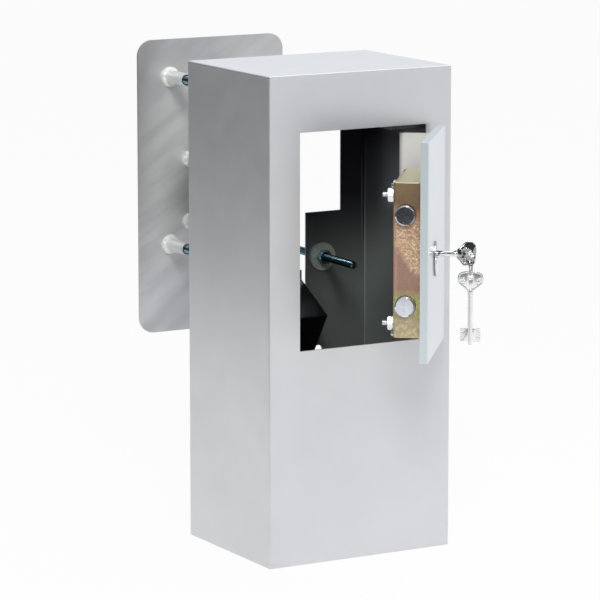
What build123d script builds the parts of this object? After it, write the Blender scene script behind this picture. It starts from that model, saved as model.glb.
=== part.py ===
"""Key drop box that is bolted through a wall.

A steel housing with a locked door stands on the inner side of the wall. A plate with a
drop slot covers the outer side. Four threaded rods join them, and a chute leads from
the slot down into the housing.

Frame: the origin is the centre of the housing's underside, Z is up, -Y is the door side
and +Y is the wall side. The door stands open, with the key in its lock.
"""
import os
from math import cos, radians, sin

from build123d import *

os.makedirs("parts", exist_ok=True)

# ---------------------------------------------------------------------------
# Driving dimensions, in mm and degrees
# ---------------------------------------------------------------------------

# Housing
housing_width = 200.0
housing_depth = 160.0
housing_height = 470.0
sheet = 2.0
bend_radius = 2.0
rim_radius = 1.2

# Door opening in the front panel
opening_width = 138.5
opening_height = 208.0
opening_head = 54.5          # from its upper edge to the housing's top
opening_offset = 2.25        # its centre, to the hinge side of the housing's centre

# Cut-outs in the rear panel: a wide window above a narrow chute slot
window_width = 140.0
window_height = 103.0
window_head = 55.0           # from its upper edge to the housing's top
slot_width = 60.0
slot_height = 74.0
anchor_spacing = 88.0
anchor_drop = 65.0           # below the slot
anchor_hole = 9.0

# Wall plate and the rods that carry it
wall_gap = 139.0
plate_width = 166.0
plate_height = 298.0
plate_rise = 5.6             # its upper edge above the housing's top
plate_sheet = 3.0
plate_corner = 16.0
rod_diameter = 8.0
rod_hole = 9.0
rod_spacing = 96.0
rod_inset_top = 37.6         # from the plate's edges
rod_inset_bottom = 89.4
rod_reach = 62.5             # free length inside the rear panel
rod_chamfer = 1.0
sleeve_diameter = 13.2
sleeve_length = 37.0
sleeve_mouth = 10.6
sleeve_mouth_depth = 8.0
weld_leg = 3.4
washer_diameter = 28.0
washer_thickness = 2.5
nut_width = 13.0
nut_height = 6.5

# Drop slot, its throat and the flap over it
drop_width = 34.0
drop_height = 30.0
drop_rise = 133.4            # its lower edge above the plate's
drop_corner = 3.0
throat_sheet = 1.5
throat_margin = 0.75         # throat's bore beyond the slot, on each side
throat_end_rise = 19.0       # throat's floor at the housing, above the slot's lower edge
throat_end_height = 45.0
throat_clearance = 1.0       # between the throat's end and the rear panel
flange_width = 64.0
flange_height = 84.0
flange_sheet = 2.0
standoff_spacing_x = 52.0
standoff_spacing_z = 64.0
standoff_drop = 5.0          # their centre below the drop slot's
standoff_diameter = 11.0
standoff_length = 17.0
screw_diameter = 6.0
screw_length = 14.0
screw_head_width = 10.0
screw_head_height = 4.0
flap_width = 60.0
flap_drop = 54.0             # from its hinge down to its lower edge
flap_sheet = 1.5
flap_lip = 8.0
flap_return = 6.5
flap_rise = 12.0             # its hinge above the top of the slot
flap_pin_diameter = 4.0
flap_knuckle_diameter = 8.0
flap_knuckle_length = 46.0
flap_pin_standoff = 5.0
flap_ear_thickness = 3.0
flap_ear_play = 0.3
flap_ear_height = 12.0

# Chute inside the housing
chute_width = 56.0
chute_sheet = 1.5
chute_lip_reach = 47.0       # from the rear panel to the lip
chute_lip_drop = 22.0        # lip below the slot's lower edge
chute_rise = 28.0            # from the lip up to the back stop
chute_back_stop = 10.0       # height, below the throat's end
chute_fall = 68.0            # from the lip down to the foot
chute_foot_flange = 22.0
chute_screw_diameter = 5.0
chute_screw_head = 10.0
chute_screw_head_height = 2.5
chute_screw_spacing = 36.0

# Door and its hinge
door_open_angle = 51.6
door_gap_free = 1.5          # at the lock side
door_gap_hinge = 4.2
door_gap_ends = 0.9          # above and below
door_sheet = 2.0
door_pan_depth = 8.0
door_edge_radius = 1.2
knuckle_diameter = 10.0
knuckle_gap_side = 4.2       # to the side wall
knuckle_gap_front = 6.0      # to the front panel
hinge_pin_diameter = 5.0
hinge_pin_bore = 5.1
hinge_pin_reach = 18.0
arm_sheet = 2.0
arm_height = 191.0
arm_depth = 44.0             # from the door's outer face
arm_bend_radius = 3.0
pivot_plate_thickness = 3.0
pivot_play = 4.0             # between the arm's ends and the pivot plates
upper_plate_length = 62.0
upper_plate_reach = 50.0
lower_plate_length = 24.0
lower_plate_reach = 24.0
pan_play = 1.0               # between the closed pan and the upper pivot plate
jamb_inset = 2.0             # pivot plates' edge behind the door jamb
thrust_washer_diameter = 9.6
thrust_washer_play = 0.1

# Lock on the door
lock_height = 146.0
lock_rise = 22.8             # its lower edge above the opening's
lock_depth = 98.0
lock_thickness = 25.5
lock_setback = 11.0          # forend behind the door's free edge
hardplate_thickness = 7.0
hardplate_margin = 2.0
case_sheet = 2.0
forend_thickness = 3.0
case_edge_radius = 1.2
forend_bend_radius = 2.5
bolt_diameter = 19.0
bolt_hole = 19.6
bolt_spacing = 85.4
bolt_depth = 22.8            # bolt axis behind the door's outer face
bolt_out = 6.0               # beyond the forend, as shown
bolt_length = 28.0
bolt_chamfer = 1.2
bolt_throw = 20.0            # in one turn of the key
carriage_sheet = 2.5
carriage_gap = 1.0           # behind the lock cover
carriage_tab = 3.0
carriage_tail = 54.5
stump_diameter = 5.0
stump_inset = 2.0
stud_diameter = 5.0
stud_inset_front = 8.0
stud_inset_rear = 9.5
stud_inset_ends = 12.8
stud_end = 45.2              # behind the door's outer face
stud_nut_width = 12.4
stud_nut_height = 5.5
rivet_head = 5.0
rivet_height = 2.4
rivet_inset = 3.6

# Levers inside the lock
lever_count = 6
lever_thickness = 1.6
lever_pitch = 2.0
lever_window = 20.4
lever_height = 35.0
lever_length = 70.0
lever_wall_gap = 1.5
lever_post_diameter = 4.0
lever_post_inset = 3.5
gate_play = 0.9
spring_wire = 0.8
spring_rise = 11.0
spring_span = 26.0

# Keys, ring, key curtain and escutcheon
key_backset = 38.5           # key axis behind the forend
key_rise = 74.2              # key axis above the lock's lower edge
key_rest_turn = 35.0         # from the upright position in which the key comes out
key_shaft_diameter = 5.0
key_shaft_out = 20.8         # from the door's face to the bow
key_shaft_length = 51.9      # bow to tip
key_tip_length = 3.3
key_tip_diameter = 4.0
bit_length = 12.3
bit_span = 18.9
bit_thickness = 2.3
bit_cut_width = 1.1
bit_cut_least = 1.1
bit_cut_step = 0.9
bit_cuts = {-1: (0, 2, 1, 0, 2, 1), 1: (1, 0, 2, 1, 0, 2)}   # steps, from the tip
bow_length = 18.3
bow_width = 24.5
bow_thickness = 2.4
bow_shoulder = 6.6           # where the bow reaches its full width
bow_side_end = 13.7          # where it starts to narrow again
bow_neck = 7.0
bow_hole = 4.4
bow_hole_inset = 5.2
keyhole_shaft = 6.4
keyhole_span = 20.4
keyhole_slot = 3.6
curtain_diameter = 21.9
curtain_bore = 22.0
curtain_flange = 25.0
curtain_flange_thickness = 0.8
curtain_play = 0.1
ring_diameter = 20.0         # of the wire's centre line
ring_wire = 1.6
ring_play = 0.4              # of the wire in the spare key's eye
escutcheon_margin = 1.4       # above the keyhole
escutcheon_width = 19.0
escutcheon_thickness = 1.8
escutcheon_drop = 4.9        # its centre below the key axis
escutcheon_rivet = 2.6
escutcheon_rivet_rise = 0.65
escutcheon_rivet_spacing = 12.5

# ---------------------------------------------------------------------------
# Places worked out from them
# ---------------------------------------------------------------------------

front_y = -housing_depth / 2
rear_y = housing_depth / 2
side_x = housing_width / 2 - sheet            # inner face of the hinge-side wall
rear_inner_y = rear_y - sheet
plate_y = rear_y + wall_gap                   # wall plate's inner face
plate_out_y = plate_y + plate_sheet
plate_sill = housing_height + plate_rise - plate_height
plate_mid_z = plate_sill + plate_height / 2

opening_left = opening_offset - opening_width / 2
opening_right = opening_offset + opening_width / 2
opening_sill = housing_height - opening_head - opening_height
opening_mid_z = opening_sill + opening_height / 2
window_sill = housing_height - window_head - window_height
slot_sill = window_sill - slot_height
anchor_height = slot_sill - anchor_drop

door_left = opening_left + door_gap_free
door_right = opening_right - door_gap_hinge
door_width = door_right - door_left
door_height = opening_height - 2 * door_gap_ends
door_mid_x = (door_left + door_right) / 2

hinge_x = side_x - knuckle_gap_side - knuckle_diameter / 2
hinge_y = front_y + sheet + knuckle_gap_front + knuckle_diameter / 2
arm_bottom = opening_mid_z - arm_height / 2
arm_top = opening_mid_z + arm_height / 2
jamb_x = opening_right + jamb_inset

lock_y = door_sheet + hardplate_thickness     # lock cover, behind the door's outer face
lock_back = lock_y + lock_thickness           # lock's inner face
lock_front = door_left + lock_setback
lock_rear = lock_front + lock_depth
lock_mid_x = (lock_front + lock_rear) / 2
lock_sill = opening_sill + lock_rise
lock_mid_z = lock_sill + lock_height / 2
lock_top = lock_sill + lock_height
case_inner = lock_y + case_sheet              # space inside the lock, from here
case_floor = lock_back - case_sheet           # to here
key_x = lock_front + key_backset
key_height = lock_sill + key_rise
escutcheon_height = keyhole_span + 2 * (escutcheon_margin + escutcheon_drop)
bolt_heights = (lock_mid_z - bolt_spacing / 2, lock_mid_z + bolt_spacing / 2)
bolt_tip = lock_front - bolt_out
bolt_tail = bolt_tip + bolt_length
stud_xs = (lock_front + stud_inset_front, lock_rear - stud_inset_rear)
stud_zs = (lock_sill + stud_inset_ends, lock_top - stud_inset_ends)
stud_places = [(x, z) for x in stud_xs for z in stud_zs]

rod_places = [(x, z) for x in (-rod_spacing / 2, rod_spacing / 2)
              for z in (plate_sill + rod_inset_bottom, plate_sill + plate_height - rod_inset_top)]
drop_sill = plate_sill + drop_rise
drop_mid_z = drop_sill + drop_height / 2
standoff_mid_z = drop_mid_z - standoff_drop
standoff_places = [(x, z) for x in (-standoff_spacing_x / 2, standoff_spacing_x / 2)
                   for z in (standoff_mid_z - standoff_spacing_z / 2,
                             standoff_mid_z + standoff_spacing_z / 2)]

# ---------------------------------------------------------------------------
# Planes
# ---------------------------------------------------------------------------

turn_cos = cos(radians(door_open_angle))
turn_sin = sin(radians(door_open_angle))
door_x = Vector(turn_cos, turn_sin, 0)        # towards the hinge side
door_in = Vector(-turn_sin, turn_cos, 0)      # into the door, from its outer face
up = Vector(0, 0, 1)
inward = Axis((0, 0, 0), door_in)
sideways = Axis((0, 0, 0), door_x)


def swing(x, y, z):
    """Where a point of the closed door is when the door stands open."""
    dx = x - hinge_x
    dy = y - hinge_y
    return Vector(hinge_x + turn_cos * dx - turn_sin * dy,
                  hinge_y + turn_sin * dx + turn_cos * dy, z)


def facing(y):
    """Upright plane that looks to the door side: local x is X, local y is Z."""
    return Plane(origin=(0, y, 0), x_dir=(1, 0, 0), z_dir=(0, -1, 0))


def door_face(depth):
    """The same on the open door, depth behind its outer face."""
    return Plane(origin=swing(0, front_y + depth, 0), x_dir=door_x, z_dir=-door_in)


def door_level(height):
    """Level plane of the open door: local x and y are X and Y of the closed door."""
    return Plane(origin=swing(0, 0, height), x_dir=door_x, z_dir=up)


def door_side(x):
    """Plane across the door, facing its hinge side: local x is the closed door's Y."""
    return Plane(origin=swing(x, 0, 0), x_dir=door_in, z_dir=door_x)


# ---------------------------------------------------------------------------
# Housing
# ---------------------------------------------------------------------------

with BuildPart() as housing_shell:
    with BuildSketch(Plane.XY.offset(sheet)):
        Rectangle(housing_width, housing_depth)
        with Locations((0, sheet)):
            Rectangle(housing_width - 2 * sheet, housing_depth, mode=Mode.SUBTRACT)
    extrude(amount=housing_height - 2 * sheet)
    front_bends = housing_shell.edges().filter_by(Axis.Z).group_by(Axis.Y)[0]
    fillet(front_bends, radius=bend_radius)
    with BuildSketch(facing(front_y)):
        with Locations((opening_offset, opening_mid_z)):
            Rectangle(opening_width, opening_height)
    extrude(amount=-sheet, mode=Mode.SUBTRACT)
housing_shell.part.label = "housing_shell"
export_step(housing_shell.part, "parts/housing_shell.step")


def end_plate(height, outer_side):
    """Top or base sheet; its outer rim is rounded."""
    with BuildPart() as plate:
        with BuildSketch(Plane.XY.offset(height)):
            Rectangle(housing_width, housing_depth)
        extrude(amount=sheet)
        corners = plate.edges().filter_by(Axis.Z).group_by(Axis.Y)[0]
        fillet(corners, radius=bend_radius)
        fillet(plate.faces().sort_by(Axis.Z)[outer_side].edges(), radius=rim_radius)
    return plate


top_cover = end_plate(housing_height - sheet, -1)
top_cover.part.label = "top_cover"
export_step(top_cover.part, "parts/top_cover.step")

base_panel = end_plate(0, 0)
base_panel.part.label = "base_panel"
export_step(base_panel.part, "parts/base_panel.step")

with BuildPart() as rear_panel:
    with BuildSketch(facing(rear_inner_y)):
        with Locations((0, housing_height / 2)):
            Rectangle(housing_width - 2 * sheet, housing_height - 2 * sheet)
        with Locations((0, window_sill + window_height / 2)):
            Rectangle(window_width, window_height, mode=Mode.SUBTRACT)
        with Locations((0, (slot_sill + window_sill) / 2)):
            Rectangle(slot_width, window_sill - slot_sill, mode=Mode.SUBTRACT)
        with Locations(rod_places):
            Circle(rod_hole / 2, mode=Mode.SUBTRACT)
        with Locations((-anchor_spacing / 2, anchor_height),
                       (anchor_spacing / 2, anchor_height)):
            Circle(anchor_hole / 2, mode=Mode.SUBTRACT)
    extrude(amount=-sheet)
rear_panel.part.label = "rear_panel"
export_step(rear_panel.part, "parts/rear_panel.step")

# ---------------------------------------------------------------------------
# Door pivots in the housing
# ---------------------------------------------------------------------------

upper_plate_z = arm_top + pivot_play
lower_plate_z = arm_bottom - pivot_play - pivot_plate_thickness
front_inner_y = front_y + sheet

with BuildPart() as upper_pivot_plate:
    with BuildSketch(Plane.XY.offset(upper_plate_z)):
        with BuildLine():
            Polyline((side_x, front_inner_y),
                     (side_x, front_y + upper_plate_reach),
                     (side_x - upper_plate_length, front_y + upper_plate_reach),
                     (side_x - upper_plate_length, front_y + door_pan_depth + pan_play),
                     (jamb_x, front_y + door_pan_depth + pan_play),
                     (jamb_x, front_inner_y), close=True)
        make_face()
        with Locations((hinge_x, hinge_y)):
            Circle(hinge_pin_diameter / 2, mode=Mode.SUBTRACT)
    extrude(amount=pivot_plate_thickness)
upper_pivot_plate.part.label = "upper_pivot_plate"
export_step(upper_pivot_plate.part, "parts/upper_pivot_plate.step")

with BuildPart() as lower_pivot_plate:
    with BuildSketch(Plane.XY.offset(lower_plate_z)):
        with Locations((side_x, front_inner_y)):
            Rectangle(lower_plate_length, lower_plate_reach, align=(Align.MAX, Align.MIN))
        with Locations((hinge_x, hinge_y)):
            Circle(hinge_pin_diameter / 2, mode=Mode.SUBTRACT)
    extrude(amount=pivot_plate_thickness)
lower_pivot_plate.part.label = "lower_pivot_plate"
export_step(lower_pivot_plate.part, "parts/lower_pivot_plate.step")

pin_length = pivot_plate_thickness + pivot_play + hinge_pin_reach
with BuildPart() as hinge_pins:
    for start in (lower_plate_z, arm_top - hinge_pin_reach):
        with BuildSketch(Plane.XY.offset(start)):
            with Locations((hinge_x, hinge_y)):
                Circle(hinge_pin_diameter / 2)
        extrude(amount=pin_length)
hinge_pins.part.label = "hinge_pins"
export_step(hinge_pins.part, "parts/hinge_pins.step")

with BuildPart() as hinge_thrust_washer:
    with BuildSketch(Plane.XY.offset(lower_plate_z + pivot_plate_thickness)):
        with Locations((hinge_x, hinge_y)):
            Circle(thrust_washer_diameter / 2)
            Circle(hinge_pin_diameter / 2, mode=Mode.SUBTRACT)
    extrude(amount=pivot_play - thrust_washer_play)
hinge_thrust_washer.part.label = "hinge_thrust_washer"
export_step(hinge_thrust_washer.part, "parts/hinge_thrust_washer.step")

# ---------------------------------------------------------------------------
# Chute inside the housing
# ---------------------------------------------------------------------------

chute_lip_y = rear_y - chute_lip_reach
chute_lip_height = slot_sill - chute_lip_drop
chute_foot_height = chute_lip_height - chute_fall
chute_wall_y = rear_inner_y - chute_sheet / 2
chute_head_y = rear_y + throat_clearance + 2 * chute_sheet
chute_head_z = chute_lip_height + chute_rise
chute_foot_end = chute_foot_height - chute_foot_flange

with BuildPart() as drop_chute:
    with BuildSketch(Plane.YZ):
        with BuildLine():
            Polyline((chute_head_y, chute_head_z + chute_back_stop), (chute_head_y, chute_head_z),
                     (chute_lip_y, chute_lip_height),
                     (chute_wall_y, chute_foot_height), (chute_wall_y, chute_foot_end))
        trace(line_width=chute_sheet)
    extrude(amount=chute_width / 2, both=True)
    with BuildSketch(facing(rear_inner_y)):
        with Locations((-chute_screw_spacing / 2, chute_foot_end + chute_foot_flange / 2),
                       (chute_screw_spacing / 2, chute_foot_end + chute_foot_flange / 2)):
            Circle(chute_screw_diameter / 2)
    extrude(amount=2 * chute_sheet, mode=Mode.SUBTRACT)
drop_chute.part.label = "drop_chute"
export_step(drop_chute.part, "parts/drop_chute.step")

with BuildPart() as chute_screws:
    for x in (-chute_screw_spacing / 2, chute_screw_spacing / 2):
        with BuildSketch(facing(rear_inner_y - chute_sheet)):
            with Locations((x, chute_foot_end + chute_foot_flange / 2)):
                Circle(chute_screw_head / 2)
        extrude(amount=chute_screw_head_height)
        with BuildSketch(facing(rear_inner_y - chute_sheet)):
            with Locations((x, chute_foot_end + chute_foot_flange / 2)):
                Circle(chute_screw_diameter / 2)
        extrude(amount=-chute_sheet)
chute_screws.part.label = "chute_screws"
export_step(chute_screws.part, "parts/chute_screws.step")

# ---------------------------------------------------------------------------
# Wall plate, sleeves and rods
# ---------------------------------------------------------------------------

with BuildPart() as wall_plate:
    with BuildSketch(facing(plate_y)):
        with Locations((0, plate_mid_z)):
            RectangleRounded(plate_width, plate_height, plate_corner)
        with Locations((0, drop_mid_z)):
            RectangleRounded(drop_width, drop_height, drop_corner, mode=Mode.SUBTRACT)
    extrude(amount=-plate_sheet)
wall_plate.part.label = "wall_plate"
export_step(wall_plate.part, "parts/wall_plate.step")

with BuildPart() as rod_sleeves:
    with BuildSketch(facing(plate_y)):
        with Locations(rod_places):
            Circle(sleeve_diameter / 2)
            Circle(rod_diameter / 2, mode=Mode.SUBTRACT)
    extrude(amount=sleeve_length)
    with BuildSketch(facing(plate_y - sleeve_length)):
        with Locations(rod_places):
            Circle(sleeve_mouth / 2)
    extrude(amount=-sleeve_mouth_depth, mode=Mode.SUBTRACT)
rod_sleeves.part.label = "rod_sleeves"
export_step(rod_sleeves.part, "parts/rod_sleeves.step")

with BuildPart() as throat_standoffs:
    with BuildSketch(facing(plate_y)):
        with Locations(standoff_places):
            Circle(standoff_diameter / 2)
            Circle(screw_diameter / 2, mode=Mode.SUBTRACT)
    extrude(amount=standoff_length)
throat_standoffs.part.label = "throat_standoffs"
export_step(throat_standoffs.part, "parts/throat_standoffs.step")

with BuildPart() as sleeve_welds:
    for places, tube in ((rod_places, sleeve_diameter), (standoff_places, standoff_diameter)):
        with Locations(*[Location((x, plate_y, z), (90, 0, 0)) for x, z in places]):
            Cone(tube / 2 + weld_leg, tube / 2, weld_leg,
                 align=(Align.CENTER, Align.CENTER, Align.MIN))
            Cylinder(tube / 2, weld_leg,
                     align=(Align.CENTER, Align.CENTER, Align.MIN), mode=Mode.SUBTRACT)
sleeve_welds.part.label = "sleeve_welds"
export_step(sleeve_welds.part, "parts/sleeve_welds.step")

rod_tip_y = rear_inner_y - rod_reach
with BuildPart() as threaded_rods:
    with BuildSketch(facing(rod_tip_y)):
        with Locations(rod_places):
            Circle(rod_diameter / 2)
    extrude(amount=rod_tip_y - plate_y)
    chamfer(threaded_rods.faces().group_by(Axis.Y)[0].edges(), length=rod_chamfer)
threaded_rods.part.label = "threaded_rods"
export_step(threaded_rods.part, "parts/threaded_rods.step")

with BuildPart() as rod_washers:
    with BuildSketch(facing(rear_inner_y)):
        with Locations(rod_places):
            Circle(washer_diameter / 2)
            Circle(rod_diameter / 2, mode=Mode.SUBTRACT)
    extrude(amount=washer_thickness)
rod_washers.part.label = "rod_washers"
export_step(rod_washers.part, "parts/rod_washers.step")

with BuildPart() as rod_nuts:
    with BuildSketch(facing(rear_inner_y - washer_thickness)):
        with Locations(rod_places):
            RegularPolygon(nut_width / 2, 6, major_radius=False)
            Circle(rod_diameter / 2, mode=Mode.SUBTRACT)
    extrude(amount=nut_height)
rod_nuts.part.label = "rod_nuts"
export_step(rod_nuts.part, "parts/rod_nuts.step")

# ---------------------------------------------------------------------------
# Throat between the drop slot and the housing
# ---------------------------------------------------------------------------

throat_width = drop_width + 2 * throat_margin + 2 * throat_sheet
throat_top = drop_sill + drop_height
throat_end_y = rear_y + throat_clearance
throat_end_floor = slot_sill + throat_end_rise
throat_end_top = throat_end_floor + throat_end_height
flange_y = plate_y - standoff_length - flange_sheet

with BuildPart() as drop_throat:
    with BuildSketch(Plane.YZ):
        with BuildLine():
            Polyline((plate_y, drop_sill - throat_margin - throat_sheet),
                     (plate_y, throat_top + throat_margin + throat_sheet),
                     (throat_end_y, throat_end_top + throat_sheet),
                     (throat_end_y, throat_end_floor - throat_sheet), close=True)
        make_face()
    extrude(amount=throat_width / 2, both=True)
    with BuildSketch(facing(flange_y + flange_sheet)):
        with Locations((0, standoff_mid_z)):
            Rectangle(flange_width, flange_height)
        with Locations(standoff_places):
            Circle(screw_diameter / 2, mode=Mode.SUBTRACT)
    extrude(amount=flange_sheet)
    with BuildSketch(Plane.YZ):
        with BuildLine():
            Polyline((plate_y, drop_sill - throat_margin),
                     (plate_y, throat_top + throat_margin),
                     (throat_end_y, throat_end_top),
                     (throat_end_y, throat_end_floor), close=True)
        make_face()
    extrude(amount=throat_width / 2 - throat_sheet, both=True, mode=Mode.SUBTRACT)
drop_throat.part.label = "drop_throat"
export_step(drop_throat.part, "parts/drop_throat.step")

with BuildPart() as throat_screws:
    with BuildSketch(facing(flange_y)):
        with Locations(standoff_places):
            RegularPolygon(screw_head_width / 2, 6, major_radius=False)
    extrude(amount=screw_head_height)
    with BuildSketch(facing(flange_y)):
        with Locations(standoff_places):
            Circle(screw_diameter / 2)
    extrude(amount=-screw_length)
throat_screws.part.label = "throat_screws"
export_step(throat_screws.part, "parts/throat_screws.step")

# ---------------------------------------------------------------------------
# Weather flap over the drop slot
# ---------------------------------------------------------------------------

flap_pin_y = plate_out_y + flap_pin_standoff
flap_pin_z = drop_sill + drop_height + flap_rise
flap_skin_y = flap_pin_y + flap_knuckle_diameter / 2      # outer face of the flap
flap_shoulder_z = flap_pin_z - flap_knuckle_diameter
flap_bottom_z = flap_pin_z - flap_drop
flap_ear_x = flap_knuckle_length / 2 + flap_ear_play + flap_ear_thickness / 2
pin_axis_plane = Plane.YZ.offset(-flap_knuckle_length / 2)

with BuildPart() as drop_flap:
    with BuildSketch(facing(flap_skin_y)):
        with Locations((0, flap_bottom_z)):
            Rectangle(flap_width, flap_shoulder_z - flap_bottom_z,
                      align=(Align.CENTER, Align.MIN))
        with Locations((0, flap_shoulder_z)):
            Rectangle(flap_knuckle_length, flap_pin_z - flap_shoulder_z,
                      align=(Align.CENTER, Align.MIN))
    extrude(amount=flap_sheet)
    for side in (-1, 1):
        with BuildSketch(facing(flap_skin_y - flap_sheet)):
            with Locations((side * (flap_width - flap_sheet) / 2, flap_bottom_z)):
                Rectangle(flap_sheet, flap_shoulder_z - flap_bottom_z,
                          align=(Align.CENTER, Align.MIN))
        extrude(amount=flap_return - flap_sheet)
    with BuildSketch(Plane.XY.offset(flap_bottom_z)):
        with Locations((0, flap_skin_y)):
            Rectangle(flap_width, flap_lip, align=(Align.CENTER, Align.MIN))
    extrude(amount=flap_sheet)
    with BuildSketch(pin_axis_plane):
        with Locations((flap_pin_y, flap_pin_z)):
            Circle(flap_knuckle_diameter / 2)
    extrude(amount=flap_knuckle_length)
    with BuildSketch(pin_axis_plane):
        with Locations((flap_pin_y, flap_pin_z)):
            Circle((flap_pin_diameter + hinge_pin_bore - hinge_pin_diameter) / 2)
    extrude(amount=flap_knuckle_length, mode=Mode.SUBTRACT)
drop_flap.part.label = "drop_flap"
export_step(drop_flap.part, "parts/drop_flap.step")

with BuildPart() as flap_ears:
    for side in (-1, 1):
        with BuildSketch(Plane.YZ.offset(side * flap_ear_x - flap_ear_thickness / 2)):
            with Locations((plate_out_y, flap_pin_z)):
                Rectangle(flap_pin_standoff, flap_ear_height, align=(Align.MIN, Align.CENTER))
            with Locations((flap_pin_y, flap_pin_z)):
                Circle(flap_knuckle_diameter / 2)
                Circle(flap_pin_diameter / 2, mode=Mode.SUBTRACT)
        extrude(amount=flap_ear_thickness)
flap_ears.part.label = "flap_ears"
export_step(flap_ears.part, "parts/flap_ears.step")

flap_pin_half = flap_ear_x + flap_ear_thickness / 2
with BuildPart() as flap_pin:
    with BuildSketch(Plane.YZ):
        with Locations((flap_pin_y, flap_pin_z)):
            Circle(flap_pin_diameter / 2)
    extrude(amount=flap_pin_half, both=True)
flap_pin.part.label = "flap_pin"
export_step(flap_pin.part, "parts/flap_pin.step")

# ---------------------------------------------------------------------------
# Door
# ---------------------------------------------------------------------------


def keyhole():
    """Outline for a double-bitted key: a round hole with a slot above and below."""
    with Locations((key_x, key_height)):
        Circle(keyhole_shaft / 2, mode=Mode.SUBTRACT)
        Rectangle(keyhole_slot, keyhole_span, mode=Mode.SUBTRACT)


with BuildPart() as door_skin:
    with BuildSketch(door_face(0)):
        with Locations((door_mid_x, opening_mid_z)):
            Rectangle(door_width, door_height)
    extrude(amount=-door_pan_depth)
    outer_face = door_skin.faces().sort_by(inward)[0]
    fillet(outer_face.edges(), radius=door_edge_radius)
    with BuildSketch(door_face(door_sheet)):
        with Locations((door_mid_x, opening_mid_z)):
            Rectangle(door_width - 2 * door_sheet, door_height - 2 * door_sheet)
    extrude(amount=-door_pan_depth, mode=Mode.SUBTRACT)
    with BuildSketch(door_face(0)):
        with Locations((key_x, key_height)):
            Circle(keyhole_shaft / 2)
            Rectangle(keyhole_slot, keyhole_span)
    extrude(amount=-door_sheet, mode=Mode.SUBTRACT)
door_skin.part.label = "door_skin"
export_step(door_skin.part, "parts/door_skin.step")

arm_flange_x = door_right - door_sheet
arm_end_y = front_y + arm_depth
with BuildPart() as door_arm:
    with BuildSketch(door_level(arm_bottom)):
        with BuildLine():
            FilletPolyline((arm_flange_x - arm_sheet / 2, front_y + door_sheet),
                           (arm_flange_x - arm_sheet / 2, arm_end_y - arm_sheet / 2),
                           (hinge_x, arm_end_y - arm_sheet / 2),
                           (hinge_x, hinge_y), radius=arm_bend_radius)
        trace(line_width=arm_sheet)
        with Locations((hinge_x, hinge_y)):
            Circle(knuckle_diameter / 2)
            Circle(hinge_pin_bore / 2, mode=Mode.SUBTRACT)
    extrude(amount=arm_height)
door_arm.part.label = "door_arm"
export_step(door_arm.part, "parts/door_arm.step")

# ---------------------------------------------------------------------------
# Lock
# ---------------------------------------------------------------------------

with BuildPart() as hardplate:
    with BuildSketch(door_face(door_sheet)):
        with Locations((lock_mid_x, lock_mid_z)):
            Rectangle(lock_depth - 2 * hardplate_margin, lock_height - 2 * hardplate_margin)
        with Locations(stud_places):
            Circle(stud_diameter / 2, mode=Mode.SUBTRACT)
        keyhole()
    extrude(amount=-hardplate_thickness)
hardplate.part.label = "hardplate"
export_step(hardplate.part, "parts/hardplate.step")

with BuildPart() as lock_cover:
    with BuildSketch(door_face(lock_y)):
        with Locations((lock_mid_x, lock_mid_z)):
            Rectangle(lock_depth, lock_height)
        with Locations(stud_places):
            Circle(stud_diameter / 2, mode=Mode.SUBTRACT)
        with Locations((key_x, key_height)):
            Circle(curtain_bore / 2, mode=Mode.SUBTRACT)
    extrude(amount=-case_sheet)
lock_cover.part.label = "lock_cover"
export_step(lock_cover.part, "parts/lock_cover.step")

with BuildPart() as lock_case:
    with BuildSketch(door_face(case_inner)):
        with Locations((lock_mid_x, lock_mid_z)):
            Rectangle(lock_depth, lock_height)
    extrude(amount=case_inner - lock_back)
    fillet(lock_case.edges().filter_by(inward), radius=case_edge_radius)
    back_edges = lock_case.faces().sort_by(inward)[-1].edges()
    fillet(back_edges.sort_by(sideways)[0], radius=forend_bend_radius)
    with BuildSketch(door_face(case_inner)):
        with Locations((lock_front + forend_thickness, lock_sill + case_sheet)):
            Rectangle(lock_depth - forend_thickness - case_sheet,
                      lock_height - 2 * case_sheet, align=(Align.MIN, Align.MIN))
    extrude(amount=case_inner - case_floor, mode=Mode.SUBTRACT)
    with BuildSketch(door_side(lock_front)):
        with Locations(*[(front_y + bolt_depth, z) for z in bolt_heights]):
            Circle(bolt_hole / 2)
    extrude(amount=forend_thickness, mode=Mode.SUBTRACT)
    with BuildSketch(door_face(case_inner)):
        with Locations(stud_places):
            Circle(stud_diameter / 2)
    extrude(amount=case_inner - lock_back, mode=Mode.SUBTRACT)
lock_case.part.label = "lock_case"
export_step(lock_case.part, "parts/lock_case.step")

with BuildPart() as lock_studs:
    with BuildSketch(door_face(door_sheet)):
        with Locations(stud_places):
            Circle(stud_diameter / 2)
    extrude(amount=door_sheet - stud_end)
lock_studs.part.label = "lock_studs"
export_step(lock_studs.part, "parts/lock_studs.step")

with BuildPart() as stud_nuts:
    with BuildSketch(door_face(lock_back)):
        with Locations(stud_places):
            RegularPolygon(stud_nut_width / 2, 6, major_radius=False)
            Circle(stud_diameter / 2, mode=Mode.SUBTRACT)
    extrude(amount=-stud_nut_height)
stud_nuts.part.label = "stud_nuts"
export_step(stud_nuts.part, "parts/stud_nuts.step")

rivet_places = [(x, z) for x in (lock_front + rivet_inset, lock_rear - rivet_inset)
                for z in (lock_sill + rivet_inset, lock_top - rivet_inset)]
with BuildPart() as case_rivets:
    with BuildSketch(door_face(lock_back)):
        with Locations(rivet_places):
            Circle(rivet_head / 2)
    extrude(amount=-rivet_height)
case_rivets.part.label = "case_rivets"
export_step(case_rivets.part, "parts/case_rivets.step")

# ---------------------------------------------------------------------------
# Bolts and the carriage that joins them
# ---------------------------------------------------------------------------

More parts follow.
